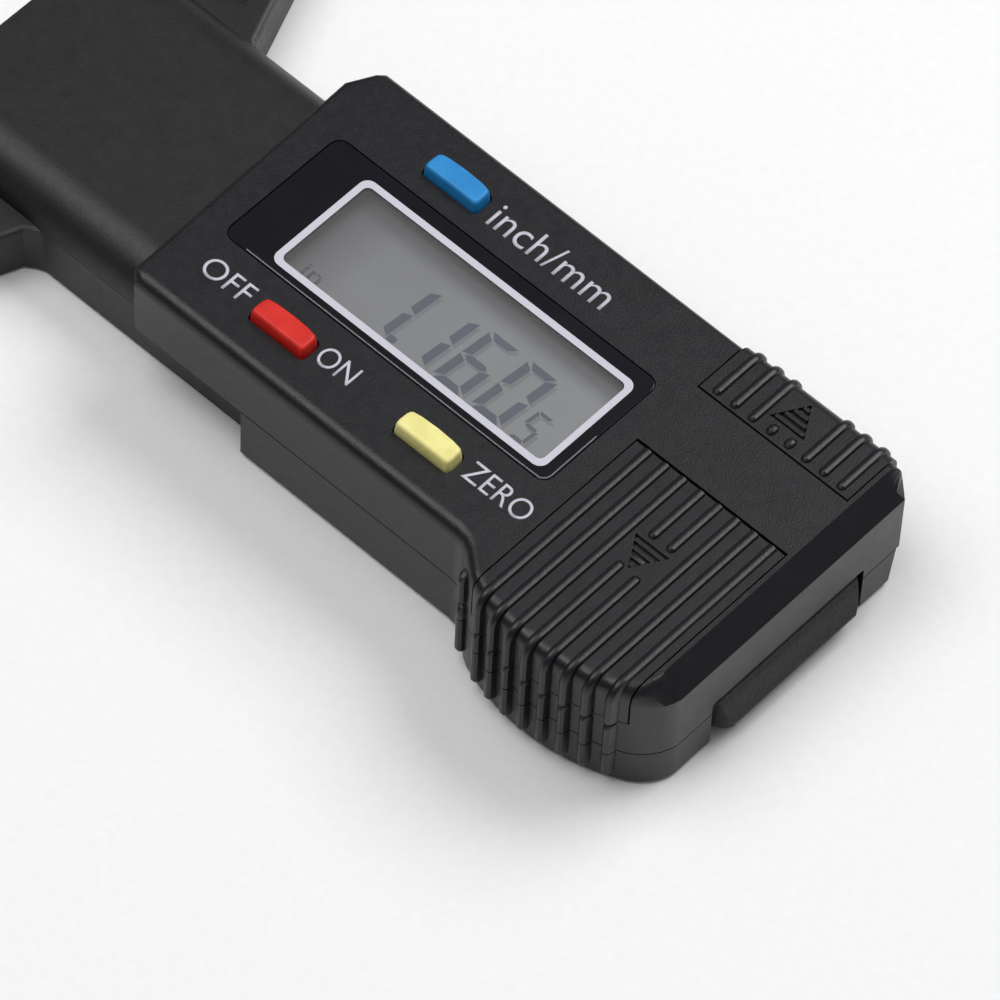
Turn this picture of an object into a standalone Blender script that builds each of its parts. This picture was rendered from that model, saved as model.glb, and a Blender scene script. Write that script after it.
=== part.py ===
"""Digital tread depth gauge: a T-shaped base with a ruler beam and a sliding display unit.

Frame: metres, Z up, X along the sliding direction (the measuring face looks to -X),
Y across, the underside on Z = 0.
"""
import math

import bmesh
import bpy
from mathutils import Vector

# ---- driving dimensions (metres) -------------------------------------------------------
TOTAL_HEIGHT = 0.01524        # underside to display face
CASE_FRONT_X = -0.00500       # edge of the display unit nearest the T
CASE_END_X = 0.06615          # thumb end of the display unit
CASE_HALF_Y = 0.01773         # half width of the display unit
CASE_BOTTOM_Z = 0.00715       # lowest point of what stands inside the front case
PARTING_LINE = ((-0.0200, 0.00707), (0.0430, 0.00707), (0.0615, 0.00507), (0.0750, 0.00507))
PARTING_GAP = 0.00007         # half the gap between the two cases
BACK_FRONT_X = 0.01085        # front edge of the back case
WALL = 0.00160                # wall of both cases
ROOF_UNDER_Z = 0.01344        # inner side of the display face
SIDE_RADIUS = (0.00150, 0.00115)  # rounded long edges, -Y side and +Y side
END_CHAMFER = (0.00237, 0.00230)
GRIP_EDGE_RADIUS = 0.00145
FRONT_EDGE_RADIUS = 0.00070
SHOULDER_Z = 0.00580          # where the hood's round shoulders begin
GRIP_CENTRE = (0.05235, 0.00170)
GRIP_RADIUS = 0.02400

RIB_FIRST_X = 0.04585         # centre of the first cover rib
RIB_PITCH = 0.00227
RIB_COUNT = 8
EDGE_RIB_X = 0.04235          # the single rib beside the cover
EDGE_RIB_Y = -0.01985

FACE_X = -0.03797             # measuring face of the T
ARM_END_Y = 0.03050
ARM_TOP_Z = 0.00640
ARM_ROOT_X = -0.01925
ARM_ROOT_Y = 0.01560
ARM_TAPER = 0.37
STEM_HALF_Y = 0.01540
STEM_END_X = 0.01055
HOOD_END_X = -0.00200
HOOD_TOP_Z = 0.01050
BEAM_HALF_Y = 0.01050
BEAM_BOTTOM_Z = 0.00190
BEAM_TOP_Z = 0.00620
BEAM_END_X = 0.06745

PROBE_Z = 0.00330
PROBE_RADIUS = 0.00120
PROBE_TIP_X = -0.06745
PROBE_END_X = 0.01500

LENS = (-0.00115, 0.04125, -0.00780, 0.00850)
LENS_THICKNESS = 0.00100
LENS_CORNER = 0.00120
LCD = (0.00360, 0.04060, -0.00750, 0.00750)
LCD_TOP_Z = 0.01330
LCD_BOTTOM_Z = 0.01140

BOARD_BOTTOM_Z = 0.00675
BOARD_TOP_Z = 0.00755

DOOR = (0.04405, 0.06330, 0.00230)        # pocket: X from, X to, inner Y edge
PORT = (0.04405, 0.06330, 0.01070)
COVER_GAP = 0.00016
COVER_PLATE = 0.00130
DOOR_BOTTOM_Z = 0.01010       # lower edge of the battery cover on the grip side
PORT_BOTTOM_Z = 0.00760       # lower edge of the port cover
SHELF_Z = (0.01240, 0.01370)

BUTTON_LONG = 0.00750
BUTTON_SHORT = 0.00310
BUTTON_TOP_Z = 0.01654
BUTTONS = (("unit", 0.01120, 0.01235), ("power", 0.01120, -0.01200), ("zero", 0.03020, -0.01195))

SCREWS = (("a", 0.01860, -0.01400), ("b", 0.01860, 0.01400),
          ("c", 0.04050, -0.01400), ("d", 0.04050, 0.01400))

CELL_CENTRE = (0.05305, -0.01300)
CELL_RADIUS = 0.00580
CELL_Z = (0.00830, 0.01360)


# ---- materials --------------------------------------------------------------------------
MATERIALS = {
    "black_plastic": ((0.028, 0.028, 0.030), 0.0, 0.62),
    "base_plastic": ((0.034, 0.032, 0.033), 0.0, 0.58),
    "dark_lens": ((0.012, 0.012, 0.018), 0.0, 0.08),
    "lcd_grey": ((0.36, 0.38, 0.40), 0.0, 0.35),
    "steel": ((0.60, 0.60, 0.60), 1.0, 0.25),
    "nickel": ((0.72, 0.70, 0.64), 1.0, 0.20),
    "board_green": ((0.02, 0.14, 0.06), 0.0, 0.45),
    "epoxy_black": ((0.01, 0.01, 0.01), 0.0, 0.25),
    "elastomer": ((0.62, 0.45, 0.46), 0.0, 0.80),
    "red_button": ((0.74, 0.05, 0.03), 0.0, 0.45),
    "blue_button": ((0.03, 0.27, 0.68), 0.0, 0.45),
    "yellow_button": ((0.86, 0.80, 0.30), 0.0, 0.45),
    "white_plastic": ((0.70, 0.70, 0.70), 0.0, 0.50),
    "scale_copper": ((0.55, 0.30, 0.14), 1.0, 0.35),
}


def clear_scene():
    for obj in list(bpy.data.objects):
        bpy.data.objects.remove(obj, do_unlink=True)


def set_material(obj, kind):
    colour, metallic, roughness = MATERIALS[kind]
    mat = bpy.data.materials.new(obj.name + "_" + kind)
    mat.use_nodes = True
    shader = mat.node_tree.nodes["Principled BSDF"]
    shader.inputs["Base Color"].default_value = (*colour, 1.0)
    shader.inputs["Metallic"].default_value = metallic
    shader.inputs["Roughness"].default_value = roughness
    obj.data.materials.append(mat)
    return obj


MESH_UNITS = 1000.0           # small features keep their precision in millimetres


# ---- mesh helpers -----------------------------------------------------------------------
def not_flat(face):
    """True for a four-sided face whose corners don't share one plane."""
    if len(face.verts) != 4:
        return False
    a, b, c, d = (vert.co for vert in face.verts)
    return abs((b - a).cross(c - a).normalized().dot(d - a)) > 1e-5


def mesh_object(name, verts, faces, cutter=False):
    """Object from metre coordinates; the mesh is held in millimetres under a scale."""
    mesh = bpy.data.meshes.new(name)
    mesh.from_pydata([Vector(point) * MESH_UNITS for point in verts], [], faces)
    bm = bmesh.new()
    bm.from_mesh(mesh)
    bmesh.ops.recalc_face_normals(bm, faces=bm.faces)
    bmesh.ops.triangulate(bm, faces=[face for face in bm.faces if not_flat(face)])
    bm.to_mesh(mesh)
    bm.free()
    obj = bpy.data.objects.new(name, mesh)
    obj.scale = (1 / MESH_UNITS,) * 3
    bpy.context.scene.collection.objects.link(obj)
    if cutter:
        obj.hide_render = True
        obj.display_type = "WIRE"
    return obj


def stack(name, rings, cutter=False):
    """Closed body through rings of equal point count."""
    count = len(rings[0])
    verts = [point for ring in rings for point in ring]
    faces = [tuple(range(count))]
    for level in range(len(rings) - 1):
        low = level * count
        high = low + count
        for i in range(count):
            j = (i + 1) % count
            faces.append((low + i, low + j, high + j, high + i))
    faces.append(tuple(range(len(verts) - count, len(verts))))
    return mesh_object(name, verts, faces, cutter)


def prism(name, outline, z0, z1, cutter=False):
    """Upright prism on an outline in X and Y."""
    return stack(name, [[(x, y, z) for x, y in outline] for z in (z0, z1)], cutter)


def prism_x(name, profile, x0, x1, cutter=False):
    """Prism along X on a profile in Y and Z."""
    return stack(name, [[(x, y, z) for y, z in profile] for x in (x0, x1)], cutter)


def prism_y(name, profile, y0, y1, cutter=False):
    """Prism along Y on a profile in X and Z."""
    return stack(name, [[(x, y, z) for x, z in profile] for y in (y0, y1)], cutter)


def box(name, x0, x1, y0, y1, z0, z1, cutter=False):
    outline = [(x0, y0), (x1, y0), (x1, y1), (x0, y1)]
    return prism(name, outline, z0, z1, cutter)


def circle(cx, cy, radius, steps=24):
    return [(cx + radius * math.cos(2 * math.pi * i / steps),
             cy + radius * math.sin(2 * math.pi * i / steps)) for i in range(steps)]


def tube_rings(cx, cy, levels, steps=24):
    """Rings round a vertical axis, levels given as (z, radius)."""
    return [[(x, y, z) for x, y in circle(cx, cy, radius, steps)] for z, radius in levels]


def rounded_rect(x0, x1, y0, y1, radius, steps=4):
    points = []
    corners = ((x1 - radius, y1 - radius, 0), (x0 + radius, y1 - radius, 90),
               (x0 + radius, y0 + radius, 180), (x1 - radius, y0 + radius, 270))
    for cx, cy, start in corners:
        for i in range(steps + 1):
            angle = math.radians(start + 90 * i / steps)
            points.append((cx + radius * math.cos(angle), cy + radius * math.sin(angle)))
    return points


def combine(target, other, operation):
    other.hide_render = True
    other.display_type = "WIRE"
    mod = target.modifiers.new(other.name, "BOOLEAN")
    mod.operation = operation
    mod.solver = "EXACT"
    mod.object = other
    return target


def cut(target, other):
    return combine(target, other, "DIFFERENCE")


def join(target, other):
    return combine(target, other, "UNION")


# ---- case outline -----------------------------------------------------------------------
def case_points(corner=0.0):
    """Outline of the display unit, thumb-side way round from the front right corner.

    Each entry is x, y, and how much of the grip, thumb-end and front treatment applies.
    corner is how much further the far thumb corner is cut away.
    """
    half = CASE_HALF_Y
    points = [(-0.00450, -0.01670, 0, 0, 1), (-0.00350, -half, 0, 0, 0), (0.03865, -half, 0, 0, 0)]
    points += [(0.03985, -0.01795, 0.2, 0, 0), (0.04095, -0.01860, 0.5, 0, 0),
               (0.04185, -0.01940, 0.8, 0, 0), (0.04275, -0.02012, 1, 0, 0)]
    for step in range(17):
        x = 0.04370 + step * 0.00115
        points.append((x, grip_y(x), 1, 0, 0))
    points += [(0.06340, -0.01960, 0.9, 0.1, 0), (0.06400, -0.01916, 0.8, 0.2, 0),
               (0.06460, -0.01862, 0.65, 0.35, 0), (0.06510, -0.01804, 0.5, 0.5, 0),
               (0.06555, -0.01734, 0.35, 0.65, 0), (0.06590, -0.01656, 0.15, 0.85, 0),
               (CASE_END_X, -0.01565, 0, 1, 0), (CASE_END_X, 0.01604 - corner, 0, 1, 0),
               (0.06435 - corner, half, 0, 0.15, 0), (-0.00335, half, 0, 0, 0),
               (-0.00415, 0.01690, 0, 0, 0.4), (-0.00555, 0.01390, 0, 0, 1)]
    return points


def inset_loop(points, distances):
    """Closed outline moved inwards at every point by that point's distance."""
    count = len(points)
    edges = []
    for i in range(count):
        a = Vector(points[i][:2])
        b = Vector(points[(i + 1) % count][:2])
        along = (b - a).normalized()
        edges.append(Vector((-along.y, along.x)))
    result = []
    for i, point in enumerate(points):
        mitre = (edges[i - 1] + edges[i]) / (1.0 + edges[i - 1].dot(edges[i]))
        moved = Vector(point[:2]) + mitre * distances[i]
        result.append((moved.x, moved.y))
    return result


def plain_inset(distance, corner=0.0):
    points = case_points(corner)
    return inset_loop(points, [distance] * len(points))


def round_inset(depth, radius):
    """How far a rounded edge of that radius stands in, at a depth below the face."""
    d = min(depth, radius)
    return radius - math.sqrt(2 * radius * d - d * d)


def top_inset(depth):
    """Outline at a depth below the display face, with the end chamfer and rounded edges."""
    near = round_inset(depth, SIDE_RADIUS[0])
    far = round_inset(depth, SIDE_RADIUS[1])
    end = END_CHAMFER[0] * max(0.0, 1 - depth / END_CHAMFER[1])
    grip = round_inset(depth, GRIP_EDGE_RADIUS)
    front = round_inset(depth, FRONT_EDGE_RADIUS)
    points = case_points()
    distances = []
    for x, y, g, e, f in points:
        side = near if y < 0 else far
        plain = e * end + (1 - e) * (g * grip + (1 - g) * side)
        distances.append(f * front + (1 - f) * plain)
    return inset_loop(points, distances)


def clip_front(outline, front_x):
    """Move every outline point nearer the T than front_x onto that line."""
    return [(max(x, front_x), y) for x, y in outline]


def case_shell(name, bottom_z, grow=0.0, cutter=False):
    depths = (0.00230, 0.00150, 0.00105, 0.00070, 0.00045, 0.00024, 0.00009, 0.0)
    rings = [[(x, y, bottom_z) for x, y in plain_inset(0.0)]]
    for depth in depths:
        rings.append([(x, y, TOTAL_HEIGHT - depth) for x, y in top_inset(depth)])
    if grow:
        rings = [[(x, y + (grow if y > 0.012 else 0.0), z) for x, y, z in ring] for ring in rings]
    return stack(name, rings, cutter)


def cut_at_parting(case, upper):
    """Keep what is above (or below) the parting line of the two cases."""
    shift = PARTING_GAP if upper else -PARTING_GAP
    line = [(x, z + shift) for x, z in PARTING_LINE]
    far_z = -0.0100 if upper else 0.0400
    profile = line + [(line[-1][0], far_z), (line[0][0], far_z)]
    cut(case, prism_y("parting_of_" + case.name, profile, -0.0400, 0.0400, True))


# ---- ribs -------------------------------------------------------------------------------
def rib_ring(x, y, z, ny, nz, width, height):
    """Half-round cross-section at a path point, with its outward direction in Y and Z."""
    ring = []
    sink = 0.00050
    for across, out in ((-1.0, -sink), (-1.0, 0.15 * height), (-0.72, 0.75 * height),
                        (-0.25, height), (0.25, height), (0.72, 0.75 * height),
                        (1.0, 0.15 * height), (1.0, -sink)):
        ring.append((x + across * width / 2, y + ny * out, z + nz * out))
    return ring


def grip_y(x):
    gx, gy = GRIP_CENTRE
    return gy - math.sqrt(GRIP_RADIUS ** 2 - (x - gx) ** 2)


RIB_TOP = (0.00106, 0.00038)      # width and height on the display face
RIB_SIDE = (0.00118, 0.00088)     # and on the grip side


def top_rib(name, x, y0, y1, open_end=False):
    """Straight rib on the display face with tapering ends, or one plain end at y1."""
    z = TOTAL_HEIGHT
    width, height = RIB_TOP
    rings = [rib_ring(x, y0, z, 0, 1, 0.6 * width, 0.3 * height),
             rib_ring(x, y0 + 0.0004, z, 0, 1, width, height)]
    if open_end:
        rings.append(rib_ring(x, y1, z, 0, 1, width, height))
    else:
        rings.append(rib_ring(x, y1 - 0.0004, z, 0, 1, width, height))
        rings.append(rib_ring(x, y1, z, 0, 1, 0.6 * width, 0.3 * height))
    return stack(name, rings, cutter=True)


def wrapped_rib(name, x, inner_y, edge_y, radius, side, bottom_z, end_size, tapered=True):
    """Rib over the face, round its edge and down the side wall; side is -1 or +1 in Y."""
    z = TOTAL_HEIGHT
    width, height = RIB_TOP
    end_width, end_height = end_size
    rings = []
    if tapered:
        rings.append(rib_ring(x, inner_y, z, 0, 1, 0.6 * width, 0.3 * height))
        inner_y += side * 0.0004
    rings.append(rib_ring(x, inner_y, z, 0, 1, width, height))
    bend_y = edge_y - side * radius
    for step in range(6):
        share = step / 5
        angle = math.radians(90 * share)
        ny = side * math.sin(angle)
        nz = math.cos(angle)
        rings.append(rib_ring(x, bend_y + ny * radius, z - radius + nz * radius, ny, nz,
                              width + (end_width - width) * share,
                              height + (end_height - height) * share))
    rings.append(rib_ring(x, edge_y, bottom_z, side, 0, end_width, end_height))
    return stack(name, rings, cutter=True)


def side_rib(name, x, edge_y, top_z, bottom_z, round_top=False, round_low=True):
    """Upright rib on the grip side, its ends rounded where asked."""
    width, height = RIB_SIDE
    levels = []
    if round_top:
        levels += [(top_z, 0.5 * width, 0.2 * height), (top_z - 0.0002, 0.85 * width, 0.7 * height),
                   (top_z - 0.0006, width, height)]
    else:
        levels.append((top_z, width, height))
    if round_low:
        levels += [(bottom_z + 0.0008, width, height), (bottom_z + 0.0003, 0.88 * width, 0.75 * height),
                   (bottom_z, 0.5 * width, 0.2 * height)]
    else:
        levels.append((bottom_z, width, height))
    rings = [rib_ring(x, edge_y, z, -1, 0, wide, high) for z, wide, high in levels]
    return stack(name, rings, cutter=True)


def rib_positions():
    return [RIB_FIRST_X + i * RIB_PITCH for i in range(RIB_COUNT)]


# ---- T base -----------------------------------------------------------------------------
def arm_plan():
    """Plan of the T's crosspiece, closed straight across inside the stem."""
    arm_end_x = ARM_ROOT_X - ARM_TAPER * (ARM_END_Y - ARM_ROOT_Y)
    half = [(ARM_ROOT_X + 0.0018, STEM_HALF_Y - 0.0002), (ARM_ROOT_X + 0.0004, 0.01570),
            (ARM_ROOT_X - 0.0008, 0.01650), (arm_end_x - 0.0001, ARM_END_Y - 0.0022),
            (arm_end_x - 0.0008, ARM_END_Y - 0.0008), (arm_end_x - 0.0022, ARM_END_Y),
            (FACE_X + 0.0012, ARM_END_Y), (FACE_X, ARM_END_Y - 0.0012)]
    return half + [(x, -y) for x, y in reversed(half)]


def build_base():
    plan = arm_plan()
    levels = ((0.0, 0.0004), (0.00025, 0.0), (ARM_TOP_Z - 0.00070, 0.0), (ARM_TOP_Z - 0.00022, 0.00018),
              (ARM_TOP_Z, 0.00065))
    rings = [[(x, y, z) for x, y in inset_loop(plan, [inset] * len(plan))] for z, inset in levels]
    base = stack("t_base", rings)
    side = STEM_HALF_Y
    lower = ((side - 0.0004, 0.0), (side, 0.00025), (side, 0.00560))
    shoulder = []
    for step in range(1, 11):
        angle = math.radians(9 * step)
        shoulder.append((side - 0.0052 * (1 - math.cos(angle)),
                         SHOULDER_Z + (HOOD_TOP_Z - SHOULDER_Z) * math.sin(angle)))
    flank = lower + ((side, SHOULDER_Z),) + tuple(shoulder)
    profile = list(flank) + [(-y, z) for y, z in reversed(flank)]
    join(base, prism_x("hood_block", profile, FACE_X + 0.0007, HOOD_END_X, True))
    stem = list(lower) + [(side, BEAM_TOP_Z)]
    profile = stem + [(-y, z) for y, z in reversed(stem)]
    join(base, prism_x("stem_block", profile, -0.0250, STEM_END_X, True))
    join(base, box("beam_block", 0.0, BEAM_END_X, -BEAM_HALF_Y, BEAM_HALF_Y,
                   BEAM_BOTTOM_Z, BEAM_TOP_Z - 0.00001, True))
    nose = ((0.0653, 0.0090), (0.0653, BEAM_TOP_Z + 0.0001), (0.0661, 0.00595), (0.0665, 0.0053),
            (0.0668, 0.0044), (0.0671, 0.0034), (0.06744, 0.0026), (0.0673, 0.0020),
            (0.0666, BEAM_BOTTOM_Z - 0.0001), (0.0666, 0.0010), (0.0690, 0.0010), (0.0690, 0.0090))
    cut(base, prism_y("tongue_nose", nose, -0.0120, 0.0120, True))
    for side in (-1, 1):
        edge = ((0.0648, 0.0011), (0.0648, 0.0), (0.0657, -0.0003), (0.0664, -0.0007),
                (0.0670, -0.0012), (0.0675, -0.0020), (0.0690, 0.0011))
        outline = [(x, side * (BEAM_HALF_Y + y)) for x, y in edge]
        cut(base, prism("tongue_corner_%d" % side, outline, 0.0010, 0.0080, True))
        recess = ((0.0046, 0.0016), (0.0052, 0.00195), (0.0080, 0.00205))
        cut(base, stack("arm_recess_%d" % side,
                        tube_rings(-0.02600, side * 0.01950, recess, 20), True))
    cut(base, box("face_relief", FACE_X - 0.001, FACE_X + 0.0005, -0.0060, 0.0060,
                  -0.001, ARM_TOP_Z + 0.002, True))
    bore = [[(x, y, z + PROBE_Z) for y, z in circle(0, 0, PROBE_RADIUS + 0.0003, 16)]
            for x in (FACE_X - 0.002, STEM_END_X + 0.002)]
    cut(base, stack("probe_bore", bore, True))
    cut(base, box("holder_groove", STEM_END_X - 0.0001, 0.04900, -0.0025, 0.0025,
                  BEAM_BOTTOM_Z - 0.001, 0.0053, True))
    return set_material(base, "base_plastic")


def build_scale():
    strip = box("scale_strip", 0.0010, 0.0655, -0.0095, 0.0095, BEAM_TOP_Z + 0.00003,
                BEAM_TOP_Z + 0.0002)
    return set_material(strip, "scale_copper")


def build_probe():
    levels = ((PROBE_TIP_X, 0.0007), (PROBE_TIP_X + 0.0004, PROBE_RADIUS),
              (PROBE_END_X - 0.0002, PROBE_RADIUS), (PROBE_END_X, 0.0010))
    rings = [[(x, y, z + PROBE_Z) for y, z in circle(0, 0, radius, 16)] for x, radius in levels]
    rod = set_material(stack("probe_rod", rings), "steel")
    holder = box("probe_holder", 0.01120, 0.01720, -0.0021, 0.0021, WALL + 0.00005, 0.0049)
    socket = [[(x, y, z + PROBE_Z) for y, z in circle(0, 0, PROBE_RADIUS + 0.0001, 16)]
              for x in (0.0100, 0.0152)]
    cut(holder, stack("holder_socket", socket, True))
    set_material(holder, "white_plastic")
    return rod


# ---- front case -------------------------------------------------------------------------
def cut_display_openings(case):
    x0, x1, y0, y1 = LENS
    gap = 0.00012
    cut(case, prism("lens_pocket", rounded_rect(x0 - gap, x1 + gap, y0 - gap, y1 + gap,
                                                LENS_CORNER + gap),
                    TOTAL_HEIGHT - LENS_THICKNESS - 0.0001, 0.020, True))
    cut(case, prism("display_window", rounded_rect(0.00440, 0.03980, -0.0066, 0.0066, 0.0006, 2),
                    0.010, 0.020, True))
    for name, x, y in BUTTONS:
        cut(case, prism("hole_" + name, button_outline(x, y, 0.0), 0.010, 0.020, True))


def add_battery_tray(case):
    """Shelf under the cover, tray floor and tray walls, all one piece with the case."""
    left = DOOR[0] - 0.00085
    right = DOOR[1] + 0.00090
    inner = -0.00600
    low, high = SHELF_Z
    floor_z = CASE_BOTTOM_Z + 0.00010
    join(case, box("battery_shelf", left, right, inner - 0.0005, DOOR[2] + 0.0012, low, high, True))
    join(case, box("tray_wall", left + 0.00010, right - 0.00010, inner - 0.0009, inner,
                   CASE_BOTTOM_Z + 0.00005, low + 0.0005, True))
    steps = [left + 0.00020 + (right - left - 0.00040) * i / 8 for i in range(9)]
    outer = [(x, grip_y(x) + 0.0012) for x in steps[:-1]] + [(steps[-1], -0.0172)]
    floor = outer + [(steps[-1], inner - 0.0004), (steps[0], inner - 0.0004)]
    join(case, prism("tray_floor", floor, floor_z, floor_z + 0.0007, True))
    join(case, box("tray_side_t", left - 0.00010, DOOR[0] - 0.00004, -0.0188, inner - 0.0002,
                   CASE_BOTTOM_Z + 0.00015, ROOF_UNDER_Z + 0.0006, True))
    join(case, box("tray_side_thumb", DOOR[1] + 0.00004, right + 0.00010, -0.0162, inner - 0.0002,
                   CASE_BOTTOM_Z + 0.00015, ROOF_UNDER_Z + 0.0006, True))


def add_port_shelf(case):
    left = PORT[0] - 0.00085
    right = PORT[1] + 0.00090
    low, high = SHELF_Z
    join(case, box("port_shelf", left, right, PORT[2] - 0.0014, 0.0150, low, high, True))
    join(case, box("port_wall", left - 0.00010, right + 0.00010, 0.0149, 0.01615,
                   CASE_BOTTOM_Z + 0.00005, high - 0.00005, True))
    join(case, box("port_sill", left + 0.00020, right - 0.00020, 0.0155, 0.0170,
                   CASE_BOTTOM_Z, PORT_BOTTOM_Z - 0.00020, True))
    cut(case, box("port_window", 0.04980, 0.05760, 0.0140, 0.0170, 0.00755, 0.01060, True))


def build_front_case():
    case = case_shell("front_case", 0.0040)
    for i, x in enumerate(rib_positions()):
        join(case, side_rib("case_rib_%d" % i, x, grip_y(x), DOOR_BOTTOM_Z - 0.00025, 0.0045, True, False))
    join(case, side_rib("case_rib_upper", EDGE_RIB_X, EDGE_RIB_Y, 0.0141, 0.0094, True, True))
    join(case, side_rib("case_rib_lower", EDGE_RIB_X, EDGE_RIB_Y, 0.0091, 0.0045, True, False))
    cut_at_parting(case, True)
    inner = [[(x, y, z) for x, y in plain_inset(WALL)] for z in (0.0030, ROOF_UNDER_Z)]
    cut(case, stack("case_cavity", inner, True))
    cut(case, box("hood_opening", -0.0080, -0.0018, -0.01600, 0.01600, 0.0050, 0.01080, True))
    slot = [(-0.0108, 0.0020), (0.0108, 0.0020), (0.0108, 0.00640), (0.01055, 0.00664),
            (-0.01055, 0.00664), (-0.0108, 0.00640)]
    cut(case, prism_x("tongue_slot", slot, 0.0600, 0.0700, True))
    cut(case, box("door_pocket", DOOR[0], DOOR[1], -0.0300, DOOR[2], DOOR_BOTTOM_Z - 0.00012, 0.0200, True))
    cut(case, box("port_pocket", PORT[0], PORT[1], PORT[2], 0.0300, PORT_BOTTOM_Z - 0.00015, 0.0200, True))
    add_battery_tray(case)
    add_port_shelf(case)
    cut_display_openings(case)
    for name, x, y in SCREWS:
        join(case, stack("front_boss_" + name,
                         tube_rings(x, y, ((CASE_BOTTOM_Z, 0.0021), (ROOF_UNDER_Z + 0.0005, 0.0021)), 16),
                         True))
        cut(case, stack("front_boss_hole_" + name,
                        tube_rings(x, y, ((0.0050, 0.0012), (0.0118, 0.0012)), 12), True))
    return set_material(case, "black_plastic")


def build_back_case():
    levels = ((0.0, 0.00045, 0.0019), (0.00016, 0.00014, 0.0015), (0.00040, 0.0, 0.0011),
              (0.00800, 0.0, 0.0))
    rings = [[(x, y, z) for x, y in clip_front(plain_inset(inset, corner), BACK_FRONT_X)]
             for z, inset, corner in levels]
    case = stack("back_case", drop_doubles(rings))
    edges = [(EDGE_RIB_X, EDGE_RIB_Y)] + [(x, grip_y(x)) for x in rib_positions()]
    for i, (x, y) in enumerate(edges):
        join(case, side_rib("back_rib_%d" % i, x, y, 0.0078, 0.0012, False, True))
    cut_at_parting(case, False)
    cavity = [[(x, y, z) for x, y in clip_front(plain_inset(WALL + 0.0002), BACK_FRONT_X - 0.0040)]
              for z in (WALL, 0.0100)]
    cut(case, stack("back_cavity", drop_doubles(cavity), True))
    cut(case, box("stem_opening", BACK_FRONT_X - 0.002, BACK_FRONT_X + 0.003, -0.0160, 0.0160,
                  WALL, 0.0100, True))
    slot = [(-0.0108, WALL), (0.0108, WALL), (0.0108, 0.0100), (-0.0108, 0.0100)]
    cut(case, prism_x("beam_slot", slot, 0.0600, 0.0700, True))
    cut(case, box("slot_open_below", 0.0646, 0.0700, -0.0108, 0.0108, -0.0010, WALL + 0.0010, True))
    for side in (-1, 1):
        y0, y1 = sorted((side * 0.0108, side * 0.0120))
        join(case, box("rail_%d" % side, 0.0125, 0.0640, y0, y1, WALL - 0.0005, 0.0060, True))
    for name, x, y in SCREWS:
        join(case, stack("back_boss_" + name,
                         tube_rings(x, y, ((WALL - 0.0005, 0.0029), (0.00660, 0.0029)), 16),
                         True))
        cut(case, stack("back_screw_hole_" + name,
                        tube_rings(x, y, ((-0.001, 0.0021), (0.0019, 0.0021), (0.00191, 0.0012),
                                          (0.0090, 0.0012)), 16), True))
    return set_material(case, "black_plastic")


def drop_doubles(rings):
    """Remove, from every ring, the points that fall on the front line between its ends."""
    first = rings[0]
    front = min(x for x, y, z in first)
    on_front = [i for i, (x, y, z) in enumerate(first) if abs(x - front) < 1e-6]
    lowest = min(on_front, key=lambda i: first[i][1])
    highest = max(on_front, key=lambda i: first[i][1])
    keep = [i for i in range(len(first)) if i not in on_front or i in (lowest, highest)]
    return [[ring[i] for i in keep] for ring in rings]


# ---- display ----------------------------------------------------------------------------
def build_display():
    x0, x1, y0, y1 = LENS
    lens = prism("lens_window", rounded_rect(x0, x1, y0, y1, LENS_CORNER),
                 TOTAL_HEIGHT - LENS_THICKNESS, TOTAL_HEIGHT)
    set_material(lens, "dark_lens")
    x0, x1, y0, y1 = LCD
    panel = box("lcd_panel", x0, x1, y0, y1, LCD_BOTTOM_Z, LCD_TOP_Z)
    set_material(panel, "lcd_grey")
    gap = 0.00015
    holder = box("lcd_holder", x0 - 0.0012, x1 + 0.0012, y0 - 0.0014, y1 + 0.0014,
                 BOARD_TOP_Z + 0.0001, LCD_TOP_Z - 0.0001)
    cut(holder, box("holder_seat", x0 - gap, x1 + gap, y0 - gap, y1 + gap,
                    LCD_BOTTOM_Z - gap, 0.020, True))
    cut(holder, box("holder_well", x0 + 0.0010, x1 - 0.0010, -0.0047, 0.0047, 0.005, 0.015, True))
    for name, y in (("a", -0.0064), ("b", 0.0064)):
        cut(holder, box("zebra_slot_" + name, x0 + 0.0012, x1 - 0.0012, y - 0.0008, y + 0.0008,
                        0.005, 0.015, True))
        strip = box("zebra_strip_" + name, x0 + 0.0014, x1 - 0.0014, y - 0.0006, y + 0.0006,
                    BOARD_TOP_Z + 0.0001, LCD_BOTTOM_Z - 0.0001)
        set_material(strip, "elastomer")
    set_material(holder, "white_plastic")


def build_board():
    outline = [(-0.0008, -0.0148), (0.0423, -0.0148), (0.0423, -0.0052), (0.0630, -0.0052),
               (0.0630, 0.0146), (-0.0008, 0.0146)]
    board = prism("main_board", outline, BOARD_BOTTOM_Z, BOARD_TOP_Z)
    for name, x, y in SCREWS:
        side = -1 if y < 0 else 1
        y0, y1 = sorted((side * 0.0114, side * 0.0200))
        cut(board, box("board_notch_" + name, x - 0.0026, x + 0.0026, y0, y1, 0.005, 0.010, True))
    set_material(board, "board_green")
    chip = stack("sensor_chip", tube_rings(0.0210, 0.0, (
        (BOARD_TOP_Z + 0.00005, 0.0044), (BOARD_TOP_Z + 0.0008, 0.0036),
        (BOARD_TOP_Z + 0.0012, 0.0018)), 20))
    set_material(chip, "epoxy_black")
    for name, x, y in BUTTONS:
        z = BOARD_TOP_Z + 0.00005
        dome = stack("dome_switch_" + name,
                     tube_rings(x, y, ((z, 0.0022), (z + 0.0003, 0.0021), (z + 0.0006, 0.0012)), 16))
        set_material(dome, "steel")


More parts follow.
